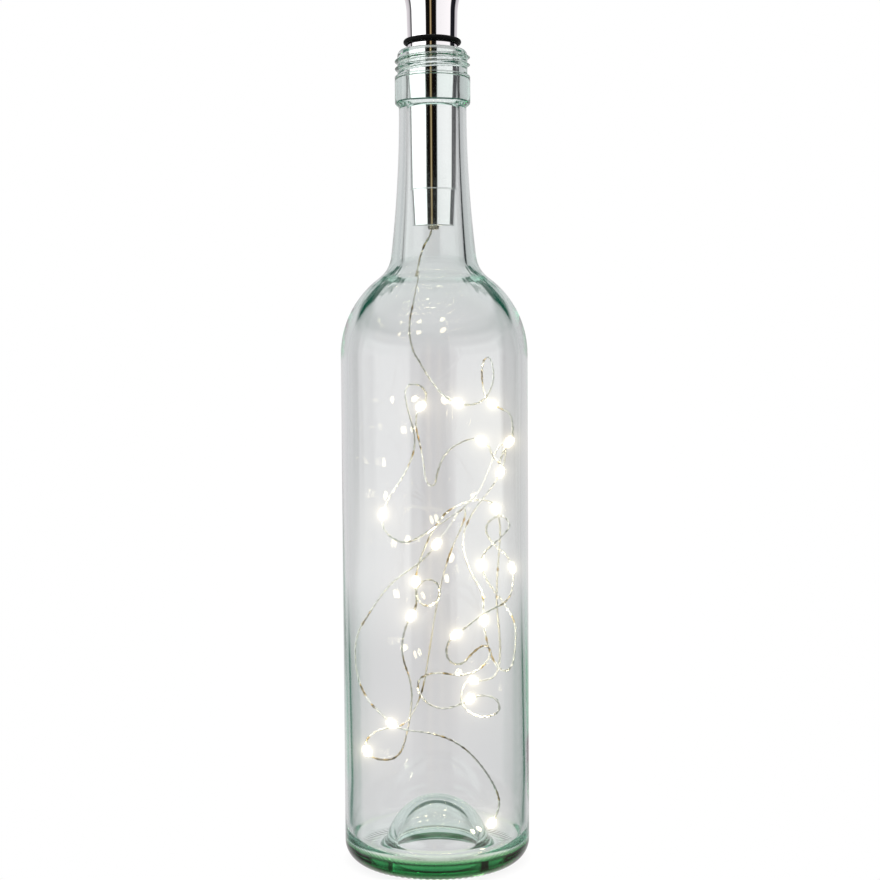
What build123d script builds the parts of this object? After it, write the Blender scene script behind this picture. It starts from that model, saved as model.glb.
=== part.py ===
from build123d import *
import math
import os

# A bottle light: a clear screw-neck wine bottle, a long metal stopper that holds the cell and its
# driver, and a string of twenty lamps on a fine twin wire that hangs from the stopper into the bottle.
# Frame: origin at the middle of the base, +Z up the bottle. Millimetres and degrees.

# Bottle
BODY_DIAMETER = 75.2
BODY_WALL = 2.8
BOTTLE_HEIGHT = 326.5
SHOULDER_START = 205.2
SHOULDER_RADIUS = 38.2
SHOULDER_FILLET = 12.5
NECK_FOOT_DIAMETER = 34.2
NECK_TOP_DIAMETER = 27.0
SHOULDER_THICKENING = 2.2
INNER_SHOULDER_RADIUS = 36.0
INNER_FILLET = 14.0
NECK_FOOT_WALL = 4.7
NECK_RELIEF = 0.45
HEEL_RADIUS = 8.0
BEARING_WIDTH = 2.6
INNER_HEEL_RADIUS = 8.0
PUNT_DEPTH = 21.0
PUNT_WALL = 4.2
PUNT_CHAMFER = 3.0
PUNT_RISE = 1.0
PUNT_SWEEP = 75.0
PUNT_FOOT_RADIUS = 5.0
FLARE_STEPS = 12

# Bottle mouth
FINISH_HEIGHT = 22.5
RING_DIAMETER = 30.2
RING_CHAMFER = 1.2
RING_TOP_CHAMFER = 0.6
THREAD_ROOT_DIAMETER = 28.0
THREAD_HEIGHT = 10.2
RIM_ROUND = 2.5
RIM_CHAMFER = 0.6
MOUTH_BORE = 19.9
MOUTH_LENGTH = 14.0

# Stopper
STOPPER_STAND_OFF = 2.05
BARREL_LENGTH = 57.75
BARREL_TAPER = 1.0
MOUTH_CLEARANCE = 0.05
BARREL_EDGE = 0.3
NOSE_LENGTH = 14.8
NOSE_TIP_DIAMETER = 16.9
NOSE_TAPER = 1.4
NOSE_EDGE = 0.6
LIP_STEP = 0.2
LIP_HEIGHT = 0.35
NOSE_FLOOR = 1.4
NOSE_CAVITY_DIAMETER = 13.6
SPIGOT_DIAMETER = 16.0
SPIGOT_BORE = 14.0
FIT_CLEARANCE = 0.05
GLAND_DIAMETER = 4.0
GLAND_FLANGE = 1.0
GLAND_FLANGE_HEIGHT = 1.0
GLAND_LIP = 0.35
GLAND_LIP_HEIGHT = 1.2

# Cell, driver and contacts
CELL_DIAMETER = 14.2
CELL_LENGTH = 50.5
CELL_CLEARANCE = 0.4
NUB_DIAMETER = 5.5
NUB_HEIGHT = 1.2
CARRIER_RISE = 0.7
CARRIER_THICKNESS = 2.0
CONTACT_HEAD_DIAMETER = 6.0
CONTACT_HEAD_THICKNESS = 1.0
CONTACT_SHANK_DIAMETER = 2.5
BOARD_STAND = 4.6
BOARD_THICKNESS = 1.2
PARTS_RADIUS = 4.1
INDUCTOR_DIAMETER = 3.8
INDUCTOR_HEIGHT = 2.6
INDUCTOR_FLANGE = 0.6
INDUCTOR_WAIST = 2.8
CHIP_SIZE = (1.6, 2.9, 1.1)
CAPACITOR_SIZE = (2.0, 1.25, 1.25)

# Head with its contact
O_RING_SECTION = 2.1
O_RING_SIDES = 8
O_RING_CLEARANCE = 0.05
O_RING_SEAT_DIAMETER = 18.8
SCREW_DIAMETER = 17.0
SCREW_LENGTH = 4.8
SCREW_CLEARANCE = 0.15
HEAD_BASE_DIAMETER = 19.7
HEAD_STRAIGHT = 10.25
HEAD_LEAN = 1.5
HEAD_FLARE_RADIUS = 24.0
HEAD_FLARE = 26.0
HEAD_BRIM = 1.2
HEAD_EDGE = 0.8
CONTACT_DISC_THICKNESS = 0.7
INSULATOR_THICKNESS = 3.3
SPRING_WIRE = 0.8
SPRING_TOP_DIAMETER = 10.0
SPRING_FOOT_DIAMETER = 6.5
SPRING_TURNS = 3.5
SPRING_STEPS = 6
SPRING_GAP = 0.1

# Lamps on the string
WIRE_DIAMETER = 0.7
WIRE_SIDES = 3
WIRE_CLEARANCE = 0.02
GLAND_CLEARANCE = 0.05
GLAND_BELL_DIAMETER = 2.4
BEAD_DIAMETER = 2.8
BEAD_LENGTH = 4.4
BEAD_CHAMFER = 0.8
BEAD_SIDES = 8
BORE_SIDES = 6
LED_SIZE = (0.5, 0.8, 1.0)
BEAD_MARGIN = 0.05
ARC_SHARE = 0.45

# The wire's route, from the board through the gland to its last lamp
ROUTE = [
    (0, 0, 262), (0, 0, 254), (-5, -1, 247), (-7, -2, 232), (-11, 4, 217), (-8, 8, 205),
    (-1, 7, 194), (5, 3, 187), (14, -4, 184), (21, -9, 188), (24, -9, 197), (22, -3, 206),
    (19, 5, 201), (20, 9, 187), (27, 3, 183), (31, -3, 182), (31, -11, 173), (27, -14, 168),
    (25, -10, 162), (26, -4, 161), (22, -2, 165), (21, -11, 169), (15, -17, 173), (5, -15, 168),
    (1, -11, 159), (0, -5, 152), (-4, 2, 153), (-5, 5, 164), (-9, 2, 181), (-2, -3, 188),
    (-6, -8, 194), (-12, -9, 193), (-11, -7, 184), (-7, -2, 170), (-12, 2, 157), (-20, 4, 146),
    (-23, 3, 135), (-14, -3, 129), (-8, -7, 131), (1, -9, 137), (16, -8, 147), (21, -1, 158),
    (25, 4, 168), (30, 9, 169), (29, 13, 160), (25, 14, 153), (16, 11, 141), (11, 9, 130),
    (14, 11, 117), (20, 11, 107), (20, 8, 100), (20, 3, 93), (22, -2, 84), (25, -8, 78),
    (29, -12, 79), (31, -9, 87), (32, -4, 97), (27, 2, 104), (19, -3, 116), (18, -8, 125),
    (24, -11, 131), (30, -12, 137), (26, -10, 142), (19, -7, 137), (22, -3, 129), (30, 0, 123),
    (32, 1, 114), (29, -6, 106), (19, -11, 102), (12, -15, 97), (4, -18, 92), (4, -17, 84),
    (10, -13, 81), (15, -9, 86), (20, -11, 90), (22, -15, 86), (17, -18, 80), (9, -18, 78),
    (0, -13, 79), (-8, -8, 75), (-6, -6, 66), (2, -7, 62), (10, -10, 65), (17, -14, 70),
    (24, -16, 69), (25, -14, 62), (17, -9, 59), (9, -4, 64), (12, 1, 73), (19, 5, 71),
    (26, 11, 72), (27, 16, 84), (25, 19, 103), (26, 18, 122), (27, 15, 136), (22, 11, 147),
    (6, 6, 143), (-2, 3, 133), (-8, 0, 118), (-8, -5, 109), (-5, -9, 104), (1, -14, 107),
    (2, -18, 114), (-3, -20, 118), (-8, -19, 113), (-7, -16, 106), (-12, -17, 98), (-14, -16, 87),
    (-9, -11, 72), (-11, -9, 56), (-15, -12, 43), (-26, -11, 43), (-29, -6, 49), (-24, 1, 53),
    (-14, 9, 51), (-6, 16, 62), (-3, 20, 80), (0, 19, 101), (5, 14, 121), (13, 6, 138),
    (12, -3, 145), (5, -11, 136), (-4, -14, 124), (-14, -9, 117), (-21, -2, 110), (-28, 3, 100),
    (-33, 3, 90), (-33, 0, 78), (-28, -5, 66), (-21, -10, 60), (-15, -15, 56), (-1, -20, 56),
    (10, -20, 51), (19, -15, 40), (25, -9, 28), (25, -6, 20), (22, -5, 15),
]

# The point before each lamp, which sits halfway along its run; one more lamp closes the wire's end
LAMP_RUNS = [7, 13, 16, 21, 28, 35, 44, 50, 58, 65, 69, 82, 88, 94, 98, 105, 111, 121, 129]

# Heights worked out from the driving dimensions
BODY_RADIUS = BODY_DIAMETER / 2
NECK_TOP_Z = BOTTLE_HEIGHT - FINISH_HEIGHT
SHOULDER_Z = BOTTLE_HEIGHT + STOPPER_STAND_OFF
SEAM_Z = SHOULDER_Z - BARREL_LENGTH
NOSE_END_Z = SEAM_Z - NOSE_LENGTH
NOSE_FLOOR_Z = NOSE_END_Z + NOSE_FLOOR
BOARD_Z = NOSE_FLOOR_Z + BOARD_STAND
BOARD_TOP_Z = BOARD_Z + BOARD_THICKNESS
CARRIER_Z = SEAM_Z + CARRIER_RISE
CARRIER_TOP_Z = CARRIER_Z + CARRIER_THICKNESS
CELL_Z = CARRIER_TOP_Z + CONTACT_HEAD_THICKNESS
CELL_TOP_Z = CELL_Z + CELL_LENGTH
HEAD_Z = SHOULDER_Z + O_RING_SECTION + 2 * O_RING_CLEARANCE
SCREW_TOP_Z = HEAD_Z + SCREW_LENGTH
DISC_TOP_Z = SCREW_TOP_Z + CONTACT_DISC_THICKNESS
INSULATOR_TOP_Z = DISC_TOP_Z + INSULATOR_THICKNESS

# Widths that mating pieces share
BARREL_BORE = CELL_DIAMETER + 2 * CELL_CLEARANCE
BARREL_TOP_DIAMETER = MOUTH_BORE - 2 * MOUTH_CLEARANCE
BARREL_SEAM_DIAMETER = BARREL_TOP_DIAMETER - BARREL_TAPER
NOSE_SEAM_DIAMETER = NOSE_TIP_DIAMETER + NOSE_TAPER
NOSE_SEAT_DIAMETER = SPIGOT_DIAMETER + 2 * FIT_CLEARANCE
HEAD_BORE = SCREW_DIAMETER + 2 * SCREW_CLEARANCE


def turned(edges):
    """A solid of revolution about Z from a closed outline of edges in radius and height."""
    return revolve(Plane.XZ * make_face(edges), Axis.Z)


def turned_outline(*points):
    """A solid of revolution about Z from the corners of a straight-sided outline."""
    return turned(Polyline(*points, close=True).edges())


def flank(start, shoulder_radius, fillet_radius, foot, top):
    """Shoulder, fillet and neck as tangent arcs, from the body's wall to the finish.

    The neck's lean at its foot is found step by step, so that it narrows from foot to top.
    """
    apart = shoulder_radius + fillet_radius
    flare = 0.0
    for step in range(FLARE_STEPS):
        lean = math.acos((foot + shoulder_radius - start[0] + fillet_radius * math.cos(flare)) / apart)
        foot_z = start[1] + apart * math.sin(lean) - fillet_radius * math.sin(flare)
        flare = 2 * math.atan((foot - top) / (NECK_TOP_Z - foot_z))
    neck_radius = (NECK_TOP_Z - foot_z) / math.sin(flare)
    lean = math.degrees(lean)
    flare = math.degrees(flare)
    shoulder = JernArc(start, (0, 1), shoulder_radius, lean)
    fillet_arc = JernArc(shoulder @ 1, shoulder % 1, fillet_radius, flare - lean)
    neck = JernArc(fillet_arc @ 1, fillet_arc % 1, neck_radius, -flare)
    return [shoulder, fillet_arc, neck]


def outer_flank():
    """The outer surface from the body to the finish."""
    start = (BODY_RADIUS, SHOULDER_START)
    return flank(start, SHOULDER_RADIUS, SHOULDER_FILLET, NECK_FOOT_DIAMETER / 2, NECK_TOP_DIAMETER / 2)


def inner_flank():
    """The inner surface: the glass is thickest where the shoulder turns into the neck."""
    start = (BODY_RADIUS - BODY_WALL, SHOULDER_START - SHOULDER_THICKENING)
    foot = NECK_FOOT_DIAMETER / 2 - NECK_FOOT_WALL
    top = MOUTH_BORE / 2 + NECK_RELIEF
    return flank(start, INNER_SHOULDER_RADIUS, INNER_FILLET, foot, top)


def make_bottle():
    """The glass: heel, body, shoulder, neck and screw finish outside, and the punt under the base."""
    bearing_out = BODY_RADIUS - HEEL_RADIUS
    bearing_in = bearing_out - BEARING_WIDTH
    bearing = Line((bearing_in, 0), (bearing_out, 0))
    heel = JernArc(bearing @ 1, (1, 0), HEEL_RADIUS, 90)
    body = Line(heel @ 1, (BODY_RADIUS, SHOULDER_START))
    outside = outer_flank()
    neck_top = outside[-1] @ 1

    ring = RING_DIAMETER / 2
    root = THREAD_ROOT_DIAMETER / 2
    thread_z = BOTTLE_HEIGHT - THREAD_HEIGHT
    rim_step = RIM_ROUND * (1 - math.sqrt(0.5))
    finish = Polyline(
        neck_top,
        (ring, NECK_TOP_Z + RING_CHAMFER),
        (ring, thread_z - RING_TOP_CHAMFER),
        (ring - RING_TOP_CHAMFER, thread_z),
        (root, thread_z),
        (root, BOTTLE_HEIGHT - RIM_ROUND),
        (root - rim_step, BOTTLE_HEIGHT - rim_step),
        (root - RIM_ROUND, BOTTLE_HEIGHT),
    )
    inside = inner_flank()
    mouth = MOUTH_BORE / 2
    bore = Polyline(
        finish @ 1,
        (mouth + RIM_CHAMFER, BOTTLE_HEIGHT),
        (mouth, BOTTLE_HEIGHT - RIM_CHAMFER),
        (mouth, BOTTLE_HEIGHT - MOUTH_LENGTH),
        inside[-1] @ 1,
    )

    punt_radius = PUNT_DEPTH - PUNT_CHAMFER - PUNT_RISE
    under_dome = JernArc((0, PUNT_DEPTH), (1, 0), punt_radius, -90)
    under_ring = Polyline(under_dome @ 1, (punt_radius + PUNT_CHAMFER, PUNT_RISE), bearing @ 0)
    dome = JernArc((0, PUNT_DEPTH + PUNT_WALL), (1, 0), punt_radius + PUNT_WALL, -PUNT_SWEEP)
    dome_foot = JernArc(dome @ 1, dome % 1, PUNT_FOOT_RADIUS, PUNT_SWEEP)
    floor_z = (dome_foot @ 1).Y
    floor = Line(dome_foot @ 1, (BODY_RADIUS - BODY_WALL - INNER_HEEL_RADIUS, floor_z))
    inner_heel = JernArc(floor @ 1, (1, 0), INNER_HEEL_RADIUS, 90)
    inner_body = Line(inner_heel @ 1, inside[0] @ 0)
    middle = Line((0, PUNT_DEPTH), (0, PUNT_DEPTH + PUNT_WALL))

    outline = [bearing, heel, body, *outside, finish, bore, *inside]
    outline += [inner_body, inner_heel, floor, dome_foot, dome, middle, under_dome, under_ring]
    return turned([edge for line in outline for edge in line.edges()])


def make_barrel():
    """The stopper's long tapered tube, with a spigot for the nose below and the head's screw above."""
    bore = BARREL_BORE / 2
    seam = BARREL_SEAM_DIAMETER / 2
    top = BARREL_TOP_DIAMETER / 2
    return turned_outline(
        (SPIGOT_BORE / 2, BOARD_TOP_Z),
        (SPIGOT_DIAMETER / 2, BOARD_TOP_Z),
        (SPIGOT_DIAMETER / 2, SEAM_Z),
        (seam - BARREL_EDGE, SEAM_Z),
        (seam, SEAM_Z + BARREL_EDGE),
        (top, SHOULDER_Z - BARREL_EDGE),
        (top - BARREL_EDGE, SHOULDER_Z),
        (O_RING_SEAT_DIAMETER / 2, SHOULDER_Z),
        (O_RING_SEAT_DIAMETER / 2, HEAD_Z),
        (SCREW_DIAMETER / 2, HEAD_Z),
        (SCREW_DIAMETER / 2, SCREW_TOP_Z),
        (bore, SCREW_TOP_Z),
        (bore, CARRIER_Z),
        (SPIGOT_BORE / 2, CARRIER_Z),
    )


def make_nose():
    """The stopper's lower end: a tapered cup with a thin lip at the seam and a hole for the gland."""
    tip = NOSE_TIP_DIAMETER / 2
    seam = NOSE_SEAM_DIAMETER / 2
    hole = GLAND_DIAMETER / 2 + FIT_CLEARANCE
    lip = BARREL_SEAM_DIAMETER / 2 + LIP_STEP
    return turned_outline(
        (hole, NOSE_END_Z),
        (tip - NOSE_EDGE, NOSE_END_Z),
        (tip, NOSE_END_Z + NOSE_EDGE),
        (seam, SEAM_Z - LIP_HEIGHT),
        (lip, SEAM_Z - LIP_HEIGHT),
        (lip, SEAM_Z),
        (NOSE_SEAT_DIAMETER / 2, SEAM_Z),
        (NOSE_SEAT_DIAMETER / 2, BOARD_Z),
        (NOSE_CAVITY_DIAMETER / 2, BOARD_Z),
        (NOSE_CAVITY_DIAMETER / 2, NOSE_FLOOR_Z),
        (hole, NOSE_FLOOR_Z),
    )


def make_gland():
    """The soft bush that the wire leaves by, with a flange inside and a lip outside."""
    shank = GLAND_DIAMETER / 2
    hole = WIRE_DIAMETER / 2 + GLAND_CLEARANCE
    return turned_outline(
        (GLAND_BELL_DIAMETER / 2, NOSE_END_Z - GLAND_LIP_HEIGHT),
        (shank, NOSE_END_Z - GLAND_LIP_HEIGHT),
        (shank + GLAND_LIP, NOSE_END_Z),
        (shank, NOSE_END_Z),
        (shank, NOSE_FLOOR_Z),
        (shank + GLAND_FLANGE, NOSE_FLOOR_Z),
        (shank + GLAND_FLANGE, NOSE_FLOOR_Z + GLAND_FLANGE_HEIGHT),
        (hole, NOSE_FLOOR_Z + GLAND_FLANGE_HEIGHT),
        (hole, NOSE_FLOOR_Z),
    )


def make_disc(diameter, low, high, hole=0.0):
    """A flat round piece between two heights, with a hole if one is given."""
    return turned_outline((hole / 2, low), (diameter / 2, low), (diameter / 2, high), (hole / 2, high))


def make_contact_post():
    """The rivet that carries the cell's positive end down to the board."""
    head = CONTACT_HEAD_DIAMETER / 2
    shank = CONTACT_SHANK_DIAMETER / 2
    return turned_outline(
        (0, BOARD_TOP_Z),
        (shank, BOARD_TOP_Z),
        (shank, CARRIER_TOP_Z),
        (head, CARRIER_TOP_Z),
        (head, CELL_Z),
        (0, CELL_Z),
    )


def make_cell():
    """The cell, nub downwards."""
    nub_top = CELL_Z + NUB_HEIGHT
    return turned_outline(
        (0, CELL_Z),
        (NUB_DIAMETER / 2, CELL_Z),
        (NUB_DIAMETER / 2, nub_top),
        (CELL_DIAMETER / 2, nub_top),
        (CELL_DIAMETER / 2, CELL_TOP_Z),
        (0, CELL_TOP_Z),
    )


def make_inductor():
    """A drum core under the board, to one side of the wire."""
    rim = INDUCTOR_DIAMETER / 2
    waist = INDUCTOR_WAIST / 2
    low = BOARD_Z - INDUCTOR_HEIGHT
    drum = turned_outline(
        (0, low),
        (rim, low),
        (rim, low + INDUCTOR_FLANGE),
        (waist, low + INDUCTOR_FLANGE),
        (waist, BOARD_Z - INDUCTOR_FLANGE),
        (rim, BOARD_Z - INDUCTOR_FLANGE),
        (rim, BOARD_Z),
        (0, BOARD_Z),
    )
    return Pos(PARTS_RADIUS, 0, 0) * drum


def make_board_block(size, place):
    """A small boxed component that hangs from the board's underside."""
    return Pos(place[0], place[1], BOARD_Z - size[2] / 2) * Box(*size)


def make_o_ring():
    """The black ring that cushions the stopper above the glass."""
    middle = SHOULDER_Z + O_RING_CLEARANCE + O_RING_SECTION / 2
    radius = O_RING_SEAT_DIAMETER / 2 + O_RING_CLEARANCE + O_RING_SECTION / 2
    section = RegularPolygon(O_RING_SECTION / 2, O_RING_SIDES, major_radius=False, rotation=180 / O_RING_SIDES)
    return turned((Pos(radius, middle) * section).edges())


def make_head():
    """The flared cap that screws onto the barrel."""
    base = HEAD_BASE_DIAMETER / 2
    lean = math.tan(math.radians(HEAD_LEAN)) * HEAD_STRAIGHT
    side = Line((base, HEAD_Z), (base + lean, HEAD_Z + HEAD_STRAIGHT))
    flare = JernArc(side @ 1, side % 1, HEAD_FLARE_RADIUS, -HEAD_FLARE)
    brim = flare @ 1
    inside = Polyline(
        brim,
        (brim.X, brim.Y + HEAD_BRIM),
        (brim.X - HEAD_EDGE, brim.Y + HEAD_BRIM + HEAD_EDGE),
        (0, brim.Y + HEAD_BRIM + HEAD_EDGE),
        (0, INSULATOR_TOP_Z),
        (HEAD_BORE / 2, INSULATOR_TOP_Z),
        (HEAD_BORE / 2, HEAD_Z),
        (base, HEAD_Z),
    )
    outline = [side, flare, inside]
    return turned([piece for line in outline for piece in line.edges()])


def corner_radii(points, lamp_runs=()):
    """The arc at each inner point of a route: as large as its runs allow, and straight in the lamps."""
    runs = [Vector(*after) - Vector(*before) for before, after in zip(points, points[1:])]
    reaches = [ARC_SHARE * run.length for run in runs]
    for index in lamp_runs:
        reaches[index] = (runs[index].length - BEAD_LENGTH) / 2 - BEAD_MARGIN
    radii = []
    for index in range(len(runs) - 1):
        turn = math.radians(runs[index].get_angle(runs[index + 1]))
        radii.append(min(reaches[index:index + 2]) / math.tan(turn / 2))
    return radii


def swept(points, radii, section):
    """A tube of the given section along straight runs and tangent arcs."""
    path = FilletPolyline(*points, radius=radii)
    start = Plane(origin=path @ 0, z_dir=path % 0)
    return sweep(start * section, path=path), path.length


def midpoint(first, second):
    """The point halfway along a run."""
    return tuple((a + b) / 2 for a, b in zip(first, second))


def make_wire(points, radii, name):
    """One stretch of the twin wire, with its volume set against section times length."""
    section = RegularPolygon(WIRE_DIAMETER / 2, WIRE_SIDES)
    tube, length = swept(points, radii, section)
    share = tube.volume / (section.area * length)
    print(f"{name}: length {length:.0f} mm, least radius {min(radii):.1f} mm, volume share {share:.4f}")
    return tube


def make_spring():
    """The contact spring between the cell and the head, a cone of round turns."""
    low = CELL_TOP_Z + SPRING_GAP + SPRING_WIRE / 2
    high = SCREW_TOP_Z - SPRING_WIRE / 2
    steps = round(SPRING_TURNS * SPRING_STEPS)
    points = []
    for step in range(steps + 1):
        share = step / steps
        radius = (SPRING_FOOT_DIAMETER + (SPRING_TOP_DIAMETER - SPRING_FOOT_DIAMETER) * share - SPRING_WIRE) / 2
        angle = 2 * math.pi * step / SPRING_STEPS
        points.append((radius * math.cos(angle), radius * math.sin(angle), low + (high - low) * share))
    tube, length = swept(points, corner_radii(points), RegularPolygon(SPRING_WIRE / 2, WIRE_SIDES))
    pitch = (high - low) / SPRING_TURNS
    print(f"contact_spring: length {length:.0f} mm, least gap {pitch - SPRING_WIRE:.2f} mm")
    return tube


def make_lamp(place):
    """A resin bead moulded round the wire and the chip that it seals, as two solids."""
    half = BEAD_LENGTH / 2
    bore_radius = WIRE_DIAMETER / 2 + WIRE_CLEARANCE
    hexagon = RegularPolygon(bore_radius, BORE_SIDES, major_radius=False, rotation=180 / BORE_SIDES)
    bead = extrude(RegularPolygon(BEAD_DIAMETER / 2, BEAD_SIDES), amount=half, both=True)
    ends = bead.edges().filter_by(Axis.Z, reverse=True)
    bead = chamfer(ends, BEAD_CHAMFER) - extrude(hexagon, amount=half, both=True)
    chip = Pos(bore_radius + LED_SIZE[0] / 2, 0, 0) * Box(*LED_SIZE)
    return place * (bead - chip), place * chip


def make_lamps():
    """Every lamp on the string, as a list of beads and a list of chips."""
    places = []
    for run in LAMP_RUNS:
        along = Vector(*ROUTE[run + 1]) - Vector(*ROUTE[run])
        places.append(Plane(origin=midpoint(ROUTE[run], ROUTE[run + 1]), z_dir=along))
    places.append(Plane(origin=ROUTE[-1], z_dir=Vector(*ROUTE[-1]) - Vector(*ROUTE[-2])))
    lamps = [make_lamp(place) for place in places]
    return [bead for bead, chip in lamps], [chip for bead, chip in lamps]


def make_parts():
    """Every node of the part by name."""
    radii = corner_radii(ROUTE, LAMP_RUNS)
    first = LAMP_RUNS[0]
    joint = midpoint(ROUTE[first - 1], ROUTE[first])
    lead_in = ROUTE[:first] + [joint]
    string = [joint] + ROUTE[first:]
    parts = {
        "bottle": make_bottle(),
        "stopper_barrel": make_barrel(),
        "stopper_nose": make_nose(),
        "wire_gland": make_gland(),
        "o_ring": make_o_ring(),
        "stopper_head": make_head(),
        "driver_board": make_disc(NOSE_SEAT_DIAMETER - 2 * FIT_CLEARANCE, BOARD_Z, BOARD_TOP_Z),
        "inductor": make_inductor(),
        "driver_chip": make_board_block(CHIP_SIZE, (-PARTS_RADIUS, 0)),
        "capacitor": make_board_block(CAPACITOR_SIZE, (0, PARTS_RADIUS)),
        "contact_post": make_contact_post(),
        "contact_carrier": make_disc(
            BARREL_BORE - 2 * FIT_CLEARANCE, CARRIER_Z, CARRIER_TOP_Z,
            hole=CONTACT_SHANK_DIAMETER + 2 * FIT_CLEARANCE,
        ),
        "cell": make_cell(),
        "contact_spring": make_spring(),
        "contact_disc": make_disc(HEAD_BORE - 2 * FIT_CLEARANCE, SCREW_TOP_Z, DISC_TOP_Z),
        "contact_insulator": make_disc(HEAD_BORE - 2 * FIT_CLEARANCE, DISC_TOP_Z, INSULATOR_TOP_Z),
        "lead_in_wire": make_wire(lead_in, radii[:first - 1], "lead_in_wire"),
        "string_wire": make_wire(string, radii[first - 1:], "string_wire"),
    }
    beads, chips = make_lamps()
    for number, bead in enumerate(beads, start=1):
        parts[f"lamp_bead_{number:02d}"] = bead
    parts["lamp_chips"] = Compound(children=chips)
    return parts


os.makedirs("parts", exist_ok=True)
for name, part in make_parts().items():
    export_step(part, f"parts/{name}.step")
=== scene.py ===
import math

import bmesh
import bpy
from mathutils import Matrix, Vector


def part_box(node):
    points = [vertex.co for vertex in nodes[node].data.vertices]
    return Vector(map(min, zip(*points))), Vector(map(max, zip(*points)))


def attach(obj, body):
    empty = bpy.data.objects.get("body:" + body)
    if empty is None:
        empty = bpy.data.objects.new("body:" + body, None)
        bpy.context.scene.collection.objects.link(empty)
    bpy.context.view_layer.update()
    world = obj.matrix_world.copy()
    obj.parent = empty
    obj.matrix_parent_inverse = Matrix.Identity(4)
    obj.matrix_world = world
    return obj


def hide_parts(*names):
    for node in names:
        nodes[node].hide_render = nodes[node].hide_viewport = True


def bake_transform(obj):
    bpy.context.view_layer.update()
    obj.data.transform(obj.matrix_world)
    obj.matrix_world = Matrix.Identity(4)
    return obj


# A bottle light: clear glass, a polished stopper, and a string of lit lamps inside.
# Metres, in the CAD's own frame: +Z up the bottle, the camera looks along +Y.
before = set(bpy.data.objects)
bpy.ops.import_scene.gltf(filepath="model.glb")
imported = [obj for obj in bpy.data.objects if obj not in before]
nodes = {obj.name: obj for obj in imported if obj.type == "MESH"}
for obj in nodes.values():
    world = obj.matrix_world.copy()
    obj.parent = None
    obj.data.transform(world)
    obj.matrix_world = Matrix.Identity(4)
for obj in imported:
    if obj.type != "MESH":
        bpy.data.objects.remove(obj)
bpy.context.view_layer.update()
MM = 0.001
TINY = 1e-6

# Camera, worked out from the photograph's frame of 880 by 880
SENSOR = 36.0
FOCAL_LENGTH = 64.5
CAMERA_PLACE = Vector((0.0021, -0.637, 0.205))
CAMERA_PITCH = math.radians(3.085)
CAMERA_ROLL = math.radians(0.358)

# Bottle
BODY_RADIUS = 37.6 * MM
BODY_WALL = 2.8 * MM
BOTTLE_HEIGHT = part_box("bottle")[1][2]
SHOULDER_START = 205.2 * MM
SHOULDER_RADIUS = 38.2 * MM
SHOULDER_FILLET = 12.5 * MM
NECK_FOOT_RADIUS = 17.1 * MM
NECK_TOP_RADIUS = 13.5 * MM
SHOULDER_THICKENING = 2.2 * MM
INNER_SHOULDER_RADIUS = 36.0 * MM
INNER_FILLET = 14.0 * MM
NECK_FOOT_WALL = 4.7 * MM
NECK_BORE_RADIUS = 10.4 * MM
FLARE_STEPS = 12
HEEL_RADIUS = 8.0 * MM
BEARING_WIDTH = 2.6 * MM
INNER_HEEL_RADIUS = 8.0 * MM
PUNT_DEPTH = 21.0 * MM
PUNT_WALL = 4.2 * MM
PUNT_FILLET = 3.0 * MM
PUNT_RISE = 1.0 * MM
PUNT_SWEEP = 75.0
PUNT_FOOT_RADIUS = 5.0 * MM
FINISH_HEIGHT = 22.5 * MM
RING_RADIUS = 15.1 * MM
RING_ROUND = 0.8 * MM
RING_CHAMFER = 1.2 * MM
THREAD_ROOT_RADIUS = 14.0 * MM
THREAD_ZONE = 10.2 * MM
THREAD_PITCH = 3.0 * MM
THREAD_TURNS = 2.3
THREAD_DEPTH = 1.05 * MM
THREAD_WIDTH = 0.85 * MM
THREAD_START = 9.0 * MM
THREAD_FADE = 0.12
RIM_ROUND = 2.3 * MM
MOUTH_RADIUS = 9.95 * MM
MOUTH_LENGTH = 14.0 * MM
MOUTH_ROUND = 0.6 * MM

# How finely the glass is divided
GLASS_SEGMENTS = 320
PUNT_STEPS = 24
PUNT_FILLET_STEPS = 6
UNDERSIDE_STEPS = 8
BEARING_STEPS = 6
HEEL_STEPS = 18
BODY_STEPS = 50
OUTER_FLANK_STEPS = 24
THREAD_STEPS = 56
RIM_STEPS = 10
MOUTH_ROUND_STEPS = 5
MOUTH_STEPS = 6
NECK_STEPS = 5
INNER_FLANK_STEPS = 48
INNER_HEEL_STEPS = 16
PUNT_FOOT_STEPS = 10

# Fine relief of the glass; each wave of the wall is its lobes, its pace in height and its phase
KNURL_COUNT = 80
KNURL_DEPTH = 0.35 * MM
KNURL_HEIGHT = 2.2 * MM
KNURL_MARGIN = 2.0 * MM
KNURL_FADE = 1.5 * MM
WALL_WAVES = [(3, 11.0, 0.4), (5, 17.0, 1.9), (8, 29.0, 2.7)]
WALL_WAVE_DEPTH = 0.06 * MM
WALL_WAVE_LOW = 20 * MM
WALL_WAVE_RISE = 20 * MM
WALL_WAVE_FADE = 30 * MM
WALL_WAVE_INNERMOST = 20 * MM
DIMPLE_LOBES = 26
DIMPLE_PACE = 900.0
DIMPLE_DEPTH = 0.02 * MM
DIMPLE_LOW = SHOULDER_START + 20 * MM
DIMPLE_HIGH = SHOULDER_START + 34 * MM

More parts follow.
